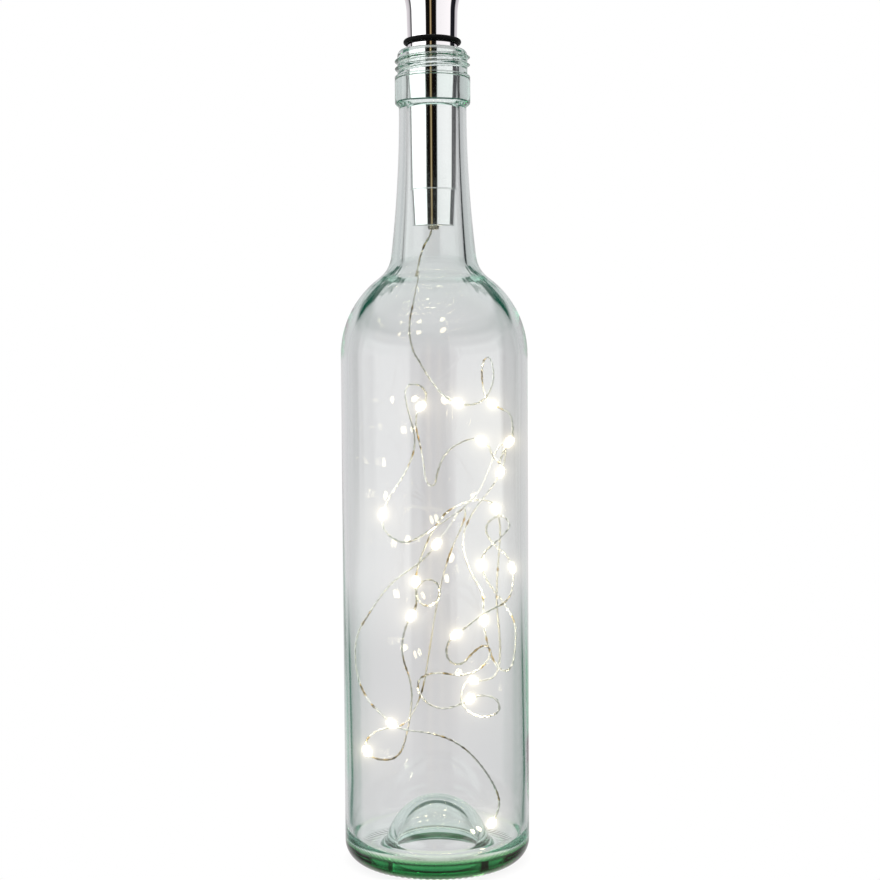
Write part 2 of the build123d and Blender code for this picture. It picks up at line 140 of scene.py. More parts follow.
# Stopper
STOPPER_SEGMENTS = 128
SHOULDER_Z = 328.55 * MM
SEAM_Z = 270.8 * MM
NOSE_END_Z = 256.0 * MM
BOARD_Z = 262.0 * MM
BOARD_TOP_Z = 263.2 * MM
CARRIER_Z = 271.5 * MM
HEAD_Z = 330.75 * MM
SCREW_TOP_Z = 335.55 * MM
HEAD_CEILING_Z = 339.55 * MM
BARREL_TOP_RADIUS = 9.9 * MM
BARREL_SEAM_RADIUS = 9.4 * MM
BARREL_BORE_RADIUS = 7.5 * MM
SPIGOT_RADIUS = 8.0 * MM
SPIGOT_BORE_RADIUS = 7.0 * MM
SCREW_RADIUS = 8.5 * MM
SCREW_PITCH = 1.5 * MM
SCREW_DEPTH = 0.35 * MM
SCREW_FADE = 0.6 * MM
SCREW_STEPS = 48
O_RING_SEAT_RADIUS = 9.4 * MM
O_RING_RADIUS = 10.5 * MM
O_RING_SECTION = 1.05 * MM
O_RING_Z = 329.65 * MM
O_RING_STEPS = 32
NOSE_TIP_RADIUS = 8.45 * MM
NOSE_SEAM_RADIUS = 9.15 * MM
NOSE_FLOOR_Z = 257.4 * MM
NOSE_CAVITY_RADIUS = 6.8 * MM
NOSE_SEAT_RADIUS = 8.05 * MM
NOSE_LIP_RADIUS = 9.6 * MM
NOSE_LIP_HEIGHT = 0.35 * MM
NOSE_LIP_ROUND = 0.1 * MM
NOSE_HOLE_RADIUS = 2.05 * MM
GLAND_RADIUS = 2.0 * MM
GLAND_HOLE_RADIUS = 0.4 * MM
GLAND_LIP = 0.35 * MM
GLAND_LIP_HEIGHT = 1.2 * MM
GLAND_FLANGE = 1.0 * MM
GLAND_BELL_RADIUS = 1.2 * MM
GLAND_SEGMENTS = 64
HEAD_BASE_RADIUS = 9.85 * MM
HEAD_BORE_RADIUS = 8.65 * MM
HEAD_STRAIGHT = 10.25 * MM
HEAD_LEAN = math.radians(1.5)
HEAD_FLARE_RADIUS = 24.0 * MM
HEAD_FLARE = math.radians(26.0)
HEAD_BRIM = 1.2 * MM
HEAD_EDGE = 0.8 * MM
HEAD_FLARE_STEPS = 20
EDGE_ROUND = 0.25 * MM
ROUND_STEPS = 6

# Contact spring, hidden in the stopper
SPRING_TURNS = 3.5
SPRING_FOOT_RADIUS = 2.85 * MM
SPRING_TOP_RADIUS = 4.6 * MM
SPRING_LOW_Z = 325.5 * MM
SPRING_HIGH_Z = 335.15 * MM
SPRING_WIRE_RADIUS = 0.4 * MM
SPRING_STEPS = 24
SPRING_SIDES = 10

# Lamp string
STRAND_RADIUS = 0.26 * MM
STRAND_OFFSET = 0.25 * MM
STRAND_SIDES = 6
STRAND_PITCH = 6.0 * MM
SPLINE_RESOLUTION = 8
BEAD_RADIUS = 1.4 * MM
BEAD_LENGTH = 4.4 * MM
BEAD_FULLNESS = 0.62
BEAD_STEPS = 14
BEAD_SEGMENTS = 24

# The wire's route, from the board through the gland to its last lamp, as in the CAD source
ROUTE = [
    (0.000, 0.000, 0.262), (0.000, 0.000, 0.254), (-0.005, -0.001, 0.247), (-0.007, -0.002, 0.232),
    (-0.011, 0.004, 0.217), (-0.008, 0.008, 0.205), (-0.001, 0.007, 0.194), (0.005, 0.003, 0.187),
    (0.014, -0.004, 0.184), (0.021, -0.009, 0.188), (0.024, -0.009, 0.197), (0.022, -0.003, 0.206),
    (0.019, 0.005, 0.201), (0.020, 0.009, 0.187), (0.027, 0.003, 0.183), (0.031, -0.003, 0.182),
    (0.031, -0.011, 0.173), (0.027, -0.014, 0.168), (0.025, -0.010, 0.162), (0.026, -0.004, 0.161),
    (0.022, -0.002, 0.165), (0.021, -0.011, 0.169), (0.015, -0.017, 0.173), (0.005, -0.015, 0.168),
    (0.001, -0.011, 0.159), (0.000, -0.005, 0.152), (-0.004, 0.002, 0.153), (-0.005, 0.005, 0.164),
    (-0.009, 0.002, 0.181), (-0.002, -0.003, 0.188), (-0.006, -0.008, 0.194), (-0.012, -0.009, 0.193),
    (-0.011, -0.007, 0.184), (-0.007, -0.002, 0.170), (-0.012, 0.002, 0.157), (-0.020, 0.004, 0.146),
    (-0.023, 0.003, 0.135), (-0.014, -0.003, 0.129), (-0.008, -0.007, 0.131), (0.001, -0.009, 0.137),
    (0.016, -0.008, 0.147), (0.021, -0.001, 0.158), (0.025, 0.004, 0.168), (0.030, 0.009, 0.169),
    (0.029, 0.013, 0.160), (0.025, 0.014, 0.153), (0.016, 0.011, 0.141), (0.011, 0.009, 0.130),
    (0.014, 0.011, 0.117), (0.020, 0.011, 0.107), (0.020, 0.008, 0.100), (0.020, 0.003, 0.093),
    (0.022, -0.002, 0.084), (0.025, -0.008, 0.078), (0.029, -0.012, 0.079), (0.031, -0.009, 0.087),
    (0.032, -0.004, 0.097), (0.027, 0.002, 0.104), (0.019, -0.003, 0.116), (0.018, -0.008, 0.125),
    (0.024, -0.011, 0.131), (0.030, -0.012, 0.137), (0.026, -0.010, 0.142), (0.019, -0.007, 0.137),
    (0.022, -0.003, 0.129), (0.030, 0.000, 0.123), (0.032, 0.001, 0.114), (0.029, -0.006, 0.106),
    (0.019, -0.011, 0.102), (0.012, -0.015, 0.097), (0.004, -0.018, 0.092), (0.004, -0.017, 0.084),
    (0.010, -0.013, 0.081), (0.015, -0.009, 0.086), (0.020, -0.011, 0.090), (0.022, -0.015, 0.086),
    (0.017, -0.018, 0.080), (0.009, -0.018, 0.078), (0.000, -0.013, 0.079), (-0.008, -0.008, 0.075),
    (-0.006, -0.006, 0.066), (0.002, -0.007, 0.062), (0.010, -0.010, 0.065), (0.017, -0.014, 0.070),
    (0.024, -0.016, 0.069), (0.025, -0.014, 0.062), (0.017, -0.009, 0.059), (0.009, -0.004, 0.064),
    (0.012, 0.001, 0.073), (0.019, 0.005, 0.071), (0.026, 0.011, 0.072), (0.027, 0.016, 0.084),
    (0.025, 0.019, 0.103), (0.026, 0.018, 0.122), (0.027, 0.015, 0.136), (0.022, 0.011, 0.147),
    (0.006, 0.006, 0.143), (-0.002, 0.003, 0.133), (-0.008, 0.000, 0.118), (-0.008, -0.005, 0.109),
    (-0.005, -0.009, 0.104), (0.001, -0.014, 0.107), (0.002, -0.018, 0.114), (-0.003, -0.020, 0.118),
    (-0.008, -0.019, 0.113), (-0.007, -0.016, 0.106), (-0.012, -0.017, 0.098), (-0.014, -0.016, 0.087),
    (-0.009, -0.011, 0.072), (-0.011, -0.009, 0.056), (-0.015, -0.012, 0.043), (-0.026, -0.011, 0.043),
    (-0.029, -0.006, 0.049), (-0.024, 0.001, 0.053), (-0.014, 0.009, 0.051), (-0.006, 0.016, 0.062),
    (-0.003, 0.020, 0.080), (0.000, 0.019, 0.101), (0.005, 0.014, 0.121), (0.013, 0.006, 0.138),
    (0.012, -0.003, 0.145), (0.005, -0.011, 0.136), (-0.004, -0.014, 0.124), (-0.014, -0.009, 0.117),
    (-0.021, -0.002, 0.110), (-0.028, 0.003, 0.100), (-0.033, 0.003, 0.090), (-0.033, 0.000, 0.078),
    (-0.028, -0.005, 0.066), (-0.021, -0.010, 0.060), (-0.015, -0.015, 0.056), (-0.001, -0.020, 0.056),
    (0.010, -0.020, 0.051), (0.019, -0.015, 0.040), (0.025, -0.009, 0.028), (0.025, -0.006, 0.020),
    (0.022, -0.005, 0.015),
]

# The point before each lamp, which sits halfway along its run; one more lamp closes the wire's end
LAMP_RUNS = [7, 13, 16, 21, 28, 35, 44, 50, 58, 65, 69, 82, 88, 94, 98, 105, 111, 121, 129]

# Looks
WHITE = (1.0,) * 3
BLACK = (0.0,) * 3
LIGHT_BOUNCES = 48
GLASS_TINT = (0.12, 0.735, 0.50)
GLASS_DENSITY = 18.0
GLASS_IOR = 1.52
GLASS_RIPPLE_SCALE = 60.0
GLASS_RIPPLE_STRENGTH = 0.05
GLASS_RIPPLE_DEPTH = 0.1 * MM
CHROME_COLOUR = (0.93, 0.93, 0.94, 1.0)
CHROME_GRAIN = 160.0
CHROME_GLOSS = [(0.35, (0.02,) * 3), (0.75, (0.06,) * 3)]
RUBBER_GRAIN = 900.0
RUBBER_TONES = [(0.3, (0.0012,) * 3), (0.8, (0.004,) * 3)]
GLAND_GRAIN = 500.0
GLAND_TONES = [(0.3, (0.62, 0.60, 0.56)), (0.8, (0.80, 0.78, 0.74))]
WIRE_GRAIN = 64.0
WIRE_TONES = [
    (0.30, (1.0, 1.0, 0.99)),
    (0.58, (1.0, 0.99, 0.95)),
    (0.61, (0.62, 0.46, 0.20)),
    (0.64, (0.16, 0.12, 0.06)),
    (0.67, (0.98, 0.97, 0.94)),
]
LAMP_RESIN = (1.0, 0.94, 0.82, 1.0)
LAMP_STRENGTH = 80.0
LAMP_GRAIN = 400.0
LAMP_TONES = [(0.3, (1.0, 0.80, 0.50)), (0.7, (1.0, 0.90, 0.70))]
GLOW_THRESHOLD = 2.0
GLOW_STRENGTH = 1.4
GLOW_SIZE = 0.35

# The heel's green colour, which starts where radius less height passes this reach, by height in
# millimetres; its dark and bright bands are painted shade and painted highlight laid over the glass's
# green;
# light that passes through takes the square root of each colour
HEEL_REACH = (26.0 * MM, 28.0 * MM)
HEEL_GREEN_AND_PAINTED_LIGHT = [
    (0.0, (0.020, 0.100, 0.030)),
    (2.2, (0.010, 0.120, 0.020)),
    (3.4, (0.0006, 0.030, 0.002)),
    (4.4, (0.0008, 0.100, 0.008)),
    (5.2, (0.0002, 0.016, 0.0015)),
    (6.2, (0.0010, 0.090, 0.010)),
    (7.1, (0.0060, 0.180, 0.022)),
    (7.9, (0.0002, 0.014, 0.0015)),
    (8.6, (0.0150, 0.220, 0.035)),
    (9.4, (0.1600, 0.480, 0.180)),
    (10.4, WHITE),
]

# Studio light, as colours round the object by the angle from the camera: a ring with softboxes for
# what is mirrored and a pale one for what shows through the glass, alike behind the object
LIGHT_STRENGTH = 1.8
BACK_LEFT = [
    (-180, (0.415, 0.389, 0.406)),
    (-150, (0.405, 0.379, 0.396)),
    (-134, (0.36, 0.34, 0.355)),
    (-122, (0.30, 0.285, 0.295)),
]
BACK_RIGHT = [
    (126, (0.28, 0.265, 0.275)),
    (138, (0.34, 0.32, 0.335)),
    (155, (0.385, 0.36, 0.375)),
    (180, (0.415, 0.389, 0.406)),
]
LIGHT_RING = [
    *BACK_LEFT,
    (-105, (0.85, 0.84, 0.84)),
    (-32, (0.85, 0.84, 0.84)),
    (-20, (0.40, 0.395, 0.39)),
    (10, (0.40, 0.395, 0.39)),
    (21, (0.54, 0.52, 0.525)),
    (92, (0.60, 0.575, 0.58)),
    *BACK_RIGHT,
]
BACKDROP_RING = [
    *BACK_LEFT,
    (-98, (0.415, 0.389, 0.406)),
    (98, (0.415, 0.389, 0.406)),
    *BACK_RIGHT,
]

# Heights, from -1 straight down to 1 straight up: where the ring gives way to the room, and the room's
# colours in the open and through glass
LIGHT_HEIGHTS = [
    (-0.62, WHITE),
    (-0.54, BLACK),
    (0.33, BLACK),
    (0.40, WHITE),
]
GROUND_HEIGHTS = [
    (-0.90, (0.34, 0.34, 0.31)),
    (-0.78, (0.46, 0.45, 0.42)),
    (-0.50, (0.46, 0.45, 0.42)),
]
ROOM_HEIGHTS = [
    *GROUND_HEIGHTS,
    (0.33, (0.01, 0.05, 0.035)),
    (0.55, (0.01, 0.05, 0.035)),
    (0.62, (0.40, 0.39, 0.395)),
]
GLASS_HEIGHTS = [
    *GROUND_HEIGHTS,
    (0.33, (0.002, 0.040, 0.026)),
    (0.56, (0.002, 0.040, 0.026)),
    (0.64, (0.58, 0.55, 0.565)),
]

# Dark cards, as shares of the light by angle, each with its own band of heights: the camera's own
# place with one warm strip, the flags beside the softboxes, low green ones and the ground in front;
# the last are those of the pale backdrop that shows straight through the glass
LOW_BAND = [
    (-0.33, BLACK),
    (-0.27, WHITE),
    (-0.19, WHITE),
    (-0.14, BLACK),
]
CAMERA_CARD = ([
    (-32, WHITE),
    (-28, (0.006, 0.005, 0.004)),
    (-12, (0.008, 0.006, 0.005)),
    (-10, (0.25, 0.15, 0.05)),
    (-7, (0.80, 0.64, 0.38)),
    (-4, (0.25, 0.15, 0.05)),
    (-2, (0.008, 0.006, 0.006)),
    (17, (0.006, 0.005, 0.005)),
    (21, WHITE),
], [
    (-0.32, BLACK),
    (-0.18, WHITE),
    (0.33, WHITE),
    (0.40, BLACK),
])
FLAGS = ([
    (-122, WHITE),
    (-118, (0.12, 0.12, 0.12)),
    (-108, (0.12, 0.12, 0.12)),
    (-104, WHITE),
    (90, WHITE),
    (94, (0.015, 0.015, 0.02)),
    (124, (0.015, 0.015, 0.02)),
    (128, WHITE),
], [
    (-0.15, BLACK),
    (-0.06, WHITE),
    (0.33, WHITE),
    (0.40, BLACK),
])
LOW_CARDS = ([
    (-170, WHITE),
    (-150, (0.85, 0.85, 0.85)),
    (-144, (0.03, 0.20, 0.13)),
    (-112, (0.03, 0.20, 0.13)),
    (-106, (0.5, 0.5, 0.5)),
    (-32, (0.5, 0.5, 0.5)),
    (-20, WHITE),
    (10, WHITE),
    (21, (0.5, 0.5, 0.5)),
    (106, (0.5, 0.5, 0.5)),
    (112, (0.02, 0.18, 0.11)),
    (144, (0.02, 0.18, 0.11)),
    (150, (0.80, 0.80, 0.80)),
    (170, WHITE),
], LOW_BAND)
FRONT_GROUND = ([
    (-140, WHITE),
    (-118, (0.22, 0.23, 0.22)),
    (118, (0.22, 0.23, 0.22)),
    (140, WHITE),
], [
    (-0.38, WHITE),
    (-0.30, BLACK),
])
BACKDROP_CARDS = ([
    (-150, WHITE),
    (-144, (0.03, 0.20, 0.13)),
    (-112, (0.03, 0.20, 0.13)),
    (-106, WHITE),
    (106, WHITE),
    (112, (0.02, 0.18, 0.11)),
    (144, (0.02, 0.18, 0.11)),
    (150, WHITE),
], LOW_BAND)

# Floor
FLOOR_HALF = 3.0
FLOOR_DROP = 0.2 * MM
SHADOW_REACH = 0.09
SHADOW_STOPS = [(0.36, (0.90,) * 3), (0.43, (0.997,) * 3), (1.0, WHITE)]


# Meshes

def mesh_piece(name, bm, sharp=math.radians(35.0)):
    """A linked object from a bmesh, smooth except along its sharp edges."""
    bmesh.ops.recalc_face_normals(bm, faces=bm.faces)
    mesh = bpy.data.meshes.new(name)
    bm.to_mesh(mesh)
    bm.free()
    mesh.shade_smooth()
    mesh.set_sharp_from_angle(angle=sharp)
    piece = bpy.data.objects.new(name, mesh)
    bpy.context.scene.collection.objects.link(piece)
    return piece


def arc(centre, radius, start, end, steps):
    """Points of an arc in radius and height, between two angles in degrees."""
    points = []
    for step in range(steps + 1):
        angle = math.radians(start + (end - start) * step / steps)
        points.append((centre[0] + radius * math.cos(angle), centre[1] + radius * math.sin(angle)))
    return points


def spread(start, end, steps):
    """Points evenly between two points, without the first."""
    points = []
    for step in range(1, steps + 1):
        share = step / steps
        points.append((start[0] + (end[0] - start[0]) * share, start[1] + (end[1] - start[1]) * share))
    return points


def rounded(corners):
    """An outline from corners of radius, height and fillet, with each fillet as a short arc."""
    outline = []
    count = len(corners)
    for index, (radius, height, fillet) in enumerate(corners):
        here = Vector((radius, height))
        if fillet == 0:
            outline.append((radius, height))
            continue
        before = Vector(corners[index - 1][:2])
        after = Vector(corners[(index + 1) % count][:2])
        back = (before - here).normalized()
        ahead = (after - here).normalized()
        for step in range(ROUND_STEPS + 1):
            share = step / ROUND_STEPS
            low = here + back * fillet * (1 - share)
            high = here + ahead * fillet * share
            outline.append(tuple(low.lerp(high, share)))
    return outline


def lathe(name, outline, segments, closed=False, shape=None):
    """A piece turned about Z from an outline; shape may move each point by its turn."""
    bm = bmesh.new()
    rings = []
    for radius, height in outline:
        if radius < TINY:
            rings.append([bm.verts.new((0.0, 0.0, height))])
            continue
        ring = []
        for step in range(segments):
            turn = 2 * math.pi * step / segments
            r, z = shape(radius, height, turn) if shape else (radius, height)
            ring.append(bm.verts.new((r * math.cos(turn), r * math.sin(turn), z)))
        rings.append(ring)
    pairs = list(zip(rings, rings[1:]))
    if closed:
        pairs.append((rings[-1], rings[0]))
    for low, high in pairs:
        for step in range(segments):
            after = (step + 1) % segments
            corners = list(dict.fromkeys([
                low[step % len(low)],
                low[after % len(low)],
                high[after % len(high)],
                high[step % len(high)],
            ]))
            if len(corners) > 2:
                bm.faces.new(corners)
    return mesh_piece(name, bm)


def smooth_step(value):
    """Zero below 0, one above 1, and a soft ramp between."""
    value = min(max(value, 0.0), 1.0)
    return value * value * (3 - 2 * value)


# Bottle

def flank(start, shoulder, fillet, foot, top, steps):
    """Shoulder, fillet and neck as tangent arcs, from the body's wall to the finish.

    The neck's lean at its foot is found step by step, so that it narrows from foot to top.
    """
    apart = shoulder + fillet
    top_z = BOTTLE_HEIGHT - FINISH_HEIGHT
    flare = 0.0
    for step in range(FLARE_STEPS):
        lean = math.acos((foot + shoulder - start[0] + fillet * math.cos(flare)) / apart)
        foot_z = start[1] + apart * math.sin(lean) - fillet * math.sin(flare)
        flare = 2 * math.atan((foot - top) / (top_z - foot_z))
    neck_radius = (top_z - foot_z) / math.sin(flare)
    shoulder_centre = (start[0] - shoulder, start[1])
    fillet_centre = (shoulder_centre[0] + apart * math.cos(lean), start[1] + apart * math.sin(lean))
    neck_centre = (top + neck_radius, top_z)
    lean = math.degrees(lean)
    flare = math.degrees(flare)
    points = arc(shoulder_centre, shoulder, 0, lean, steps)
    points += arc(fillet_centre, fillet, 180 + lean, 180 + flare, steps)[1:]
    points += arc(neck_centre, neck_radius, 180 + flare, 180, steps)[1:]
    return points


def outer_flank(steps):
    """The outer surface from the body to the finish."""
    start = (BODY_RADIUS, SHOULDER_START)
    return flank(start, SHOULDER_RADIUS, SHOULDER_FILLET, NECK_FOOT_RADIUS, NECK_TOP_RADIUS, steps)


def inner_flank(steps):
    """The inner surface: the glass is thickest where the shoulder turns into the neck."""
    start = (BODY_RADIUS - BODY_WALL, SHOULDER_START - SHOULDER_THICKENING)
    foot = NECK_FOOT_RADIUS - NECK_FOOT_WALL
    return flank(start, INNER_SHOULDER_RADIUS, INNER_FILLET, foot, NECK_BORE_RADIUS, steps)


def bottle_outline():
    """The glass as one closed outline, from the punt's crown under the base to its crown inside."""
    punt_radius = PUNT_DEPTH - PUNT_FILLET - PUNT_RISE
    outline = arc((0, PUNT_DEPTH - punt_radius), punt_radius, 90, 0, PUNT_STEPS)
    fillet_centre = (punt_radius + PUNT_FILLET, PUNT_FILLET + PUNT_RISE)
    outline += arc(fillet_centre, PUNT_FILLET, 180, 270, PUNT_FILLET_STEPS)[1:]
    bearing_out = BODY_RADIUS - HEEL_RADIUS
    bearing_in = bearing_out - BEARING_WIDTH
    outline += spread(outline[-1], (bearing_in, 0), UNDERSIDE_STEPS)
    outline += spread(outline[-1], (bearing_out, 0), BEARING_STEPS)
    outline += arc((bearing_out, HEEL_RADIUS), HEEL_RADIUS, -90, 0, HEEL_STEPS)[1:]
    outline += spread(outline[-1], (BODY_RADIUS, SHOULDER_START), BODY_STEPS)
    outline += outer_flank(OUTER_FLANK_STEPS)[1:]

    neck_top = BOTTLE_HEIGHT - FINISH_HEIGHT
    zone_low = BOTTLE_HEIGHT - THREAD_ZONE
    ring = rounded([
        (outline[-1][0], neck_top, 0),
        (RING_RADIUS, neck_top + RING_CHAMFER, RING_ROUND),
        (RING_RADIUS, zone_low, RING_ROUND),
        (THREAD_ROOT_RADIUS, zone_low, 0),
    ])
    outline += ring[1:]
    outline += spread(outline[-1], (THREAD_ROOT_RADIUS, BOTTLE_HEIGHT - RIM_ROUND), THREAD_STEPS)
    rim_centre = (THREAD_ROOT_RADIUS - RIM_ROUND, BOTTLE_HEIGHT - RIM_ROUND)
    outline += arc(rim_centre, RIM_ROUND, 0, 90, RIM_STEPS)[1:]
    mouth_centre = (MOUTH_RADIUS + MOUTH_ROUND, BOTTLE_HEIGHT - MOUTH_ROUND)
    outline += arc(mouth_centre, MOUTH_ROUND, 90, 180, MOUTH_ROUND_STEPS)
    outline += spread(outline[-1], (MOUTH_RADIUS, BOTTLE_HEIGHT - MOUTH_LENGTH), MOUTH_STEPS)

    inside = inner_flank(INNER_FLANK_STEPS)[::-1]
    outline += spread(outline[-1], inside[0], NECK_STEPS)
    outline += inside[1:]
    dome_radius = punt_radius + PUNT_WALL
    dome_centre_z = PUNT_DEPTH + PUNT_WALL - dome_radius
    foot_angle = math.radians(90 - PUNT_SWEEP)
    foot_apart = dome_radius + PUNT_FOOT_RADIUS
    foot_centre = (foot_apart * math.cos(foot_angle), dome_centre_z + foot_apart * math.sin(foot_angle))
    floor_z = foot_centre[1] - PUNT_FOOT_RADIUS
    heel_centre = (BODY_RADIUS - BODY_WALL - INNER_HEEL_RADIUS, floor_z + INNER_HEEL_RADIUS)
    inner_heel = arc(heel_centre, INNER_HEEL_RADIUS, 0, -90, INNER_HEEL_STEPS)
    outline += spread(outline[-1], inner_heel[0], BODY_STEPS)
    outline += inner_heel[1:]
    outline += arc(foot_centre, PUNT_FOOT_RADIUS, 270, 270 - PUNT_SWEEP, PUNT_FOOT_STEPS)
    outline += arc((0, dome_centre_z), dome_radius, 90 - PUNT_SWEEP, 90, PUNT_STEPS)[1:]
    return outline


def thread_lift(depth, turn):
    """How far the screw thread stands out, from 0 to 1, at a depth below the rim."""
    lift = 0.0
    for lap in range(math.ceil(THREAD_TURNS)):
        along = turn / (2 * math.pi) + lap
        if along > THREAD_TURNS:
            continue
        off = depth - (THREAD_START - along * THREAD_PITCH)
        ends = smooth_step(along / THREAD_FADE) * smooth_step((THREAD_TURNS - along) / THREAD_FADE)
        lift = max(lift, ends * (1 - smooth_step(abs(off) / THREAD_WIDTH)))
    return lift


def wall_wave(height, turn):
    """The inner wall's faint waves, which fade out at the heel and at the shoulder."""
    wave = 0.0
    for lobes, pace, phase in WALL_WAVES:
        wave += math.sin(lobes * turn + phase + pace * height)
    rise = smooth_step((height - WALL_WAVE_LOW) / WALL_WAVE_RISE)
    fade = smooth_step((SHOULDER_START - height) / WALL_WAVE_FADE)
    return wave * (rise * fade)


def glass_shape(radius, height, turn):
    """The screw thread, the knurled bearing ring, the inner wall's waves and the shoulder's dimples."""
    depth = BOTTLE_HEIGHT - height
    if abs(radius - THREAD_ROOT_RADIUS) < TINY and depth < THREAD_ZONE:
        return radius + THREAD_DEPTH * thread_lift(depth, turn), height
    knurl_in = BODY_RADIUS - HEEL_RADIUS - BEARING_WIDTH - KNURL_MARGIN
    if height < KNURL_HEIGHT and radius > knurl_in:
        wave = 0.5 + 0.5 * math.cos(KNURL_COUNT * turn)
        inner_fade = smooth_step((radius - knurl_in) / KNURL_FADE)
        outer_fade = smooth_step((KNURL_HEIGHT - height) / KNURL_FADE)
        return radius, height + KNURL_DEPTH * wave * inner_fade * outer_fade
    if radius > BODY_RADIUS - 0.5 * BODY_WALL:
        return radius, height
    if WALL_WAVE_LOW < height < SHOULDER_START and radius > WALL_WAVE_INNERMOST:
        return radius + WALL_WAVE_DEPTH * wall_wave(height, turn), height
    if DIMPLE_LOW < height < DIMPLE_HIGH:
        swing = DIMPLE_LOBES * turn
        climb = DIMPLE_PACE * height
        return radius + DIMPLE_DEPTH * (math.sin(swing + climb) * math.sin(swing - climb)), height
    return radius, height


def make_bottle():
    """The glass as one piece."""
    bottle = lathe("bottle_glass", bottle_outline(), GLASS_SEGMENTS, shape=glass_shape)
    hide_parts("bottle")
    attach(bottle, "bottle")
    return bottle


# Stopper

def screw_outline():
    """The barrel's closed outline; its screw has enough rings for a thread."""
    outline = rounded([
        (SPIGOT_BORE_RADIUS, BOARD_TOP_Z, 0),
        (SPIGOT_RADIUS, BOARD_TOP_Z, EDGE_ROUND),
        (SPIGOT_RADIUS, SEAM_Z, 0),
        (BARREL_SEAM_RADIUS, SEAM_Z, EDGE_ROUND),
        (BARREL_TOP_RADIUS, SHOULDER_Z, EDGE_ROUND),
        (O_RING_SEAT_RADIUS, SHOULDER_Z, 0),
        (O_RING_SEAT_RADIUS, HEAD_Z, EDGE_ROUND),
        (SCREW_RADIUS, HEAD_Z, 0),
    ])
    outline += spread(outline[-1], (SCREW_RADIUS, SCREW_TOP_Z), SCREW_STEPS)
    outline += rounded([
        (BARREL_BORE_RADIUS, SCREW_TOP_Z, 0),
        (BARREL_BORE_RADIUS, CARRIER_Z, 0),
        (SPIGOT_BORE_RADIUS, CARRIER_Z, 0),
    ])
    return outline


def screw_shape(radius, height, turn):
    """A thread cut into the barrel's screw."""
    if abs(radius - SCREW_RADIUS) > TINY or height < HEAD_Z:
        return radius, height
    phase = (height - HEAD_Z) / SCREW_PITCH - turn / (2 * math.pi)
    groove = 0.5 - 0.5 * math.cos(2 * math.pi * phase)
    ends = smooth_step((height - HEAD_Z) / SCREW_FADE) * smooth_step((SCREW_TOP_Z - height) / SCREW_FADE)
    return radius - SCREW_DEPTH * groove * ends, height


def make_stopper():
    """The barrel, its nose, the bush that the wire leaves by and the black ring."""
    barrel = lathe("barrel_chrome", screw_outline(), STOPPER_SEGMENTS, closed=True, shape=screw_shape)
    nose = lathe("nose_chrome", rounded([
        (NOSE_HOLE_RADIUS, NOSE_END_Z, 0),
        (NOSE_TIP_RADIUS, NOSE_END_Z, 2 * EDGE_ROUND),
        (NOSE_SEAM_RADIUS, SEAM_Z - NOSE_LIP_HEIGHT, 0),
        (NOSE_LIP_RADIUS, SEAM_Z - NOSE_LIP_HEIGHT, NOSE_LIP_ROUND),
        (NOSE_LIP_RADIUS, SEAM_Z, NOSE_LIP_ROUND),
        (NOSE_SEAT_RADIUS, SEAM_Z, 0),
        (NOSE_SEAT_RADIUS, BOARD_Z, 0),
        (NOSE_CAVITY_RADIUS, BOARD_Z, 0),
        (NOSE_CAVITY_RADIUS, NOSE_FLOOR_Z, EDGE_ROUND),
        (NOSE_HOLE_RADIUS, NOSE_FLOOR_Z, 0),
    ]), STOPPER_SEGMENTS, closed=True)
    gland = lathe("gland_bush", rounded([
        (GLAND_BELL_RADIUS, NOSE_END_Z - GLAND_LIP_HEIGHT, EDGE_ROUND),
        (GLAND_RADIUS, NOSE_END_Z - GLAND_LIP_HEIGHT, EDGE_ROUND),
        (GLAND_RADIUS + GLAND_LIP, NOSE_END_Z, 0),
        (GLAND_RADIUS, NOSE_END_Z, 0),
        (GLAND_RADIUS, NOSE_FLOOR_Z, 0),
        (GLAND_RADIUS + GLAND_FLANGE, NOSE_FLOOR_Z, EDGE_ROUND),
        (GLAND_RADIUS + GLAND_FLANGE, NOSE_FLOOR_Z + GLAND_FLANGE, EDGE_ROUND),
        (GLAND_HOLE_RADIUS, NOSE_FLOOR_Z + GLAND_FLANGE, 0),
        (GLAND_HOLE_RADIUS, NOSE_FLOOR_Z, 0),
    ]), GLAND_SEGMENTS, closed=True)
    ring_outline = arc((O_RING_RADIUS, O_RING_Z), O_RING_SECTION, 0, 360, O_RING_STEPS)[:-1]
    o_ring = lathe("o_ring_rubber", ring_outline, STOPPER_SEGMENTS, closed=True)
    for piece, node, slot in (
        (barrel, "stopper_barrel", "chrome"),
        (nose, "stopper_nose", "chrome"),
        (gland, "wire_gland", "rubber"),
        (o_ring, "o_ring", "rubber"),
    ):
        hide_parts(node)
        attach(piece, "stopper")
    return barrel, nose, gland, o_ring


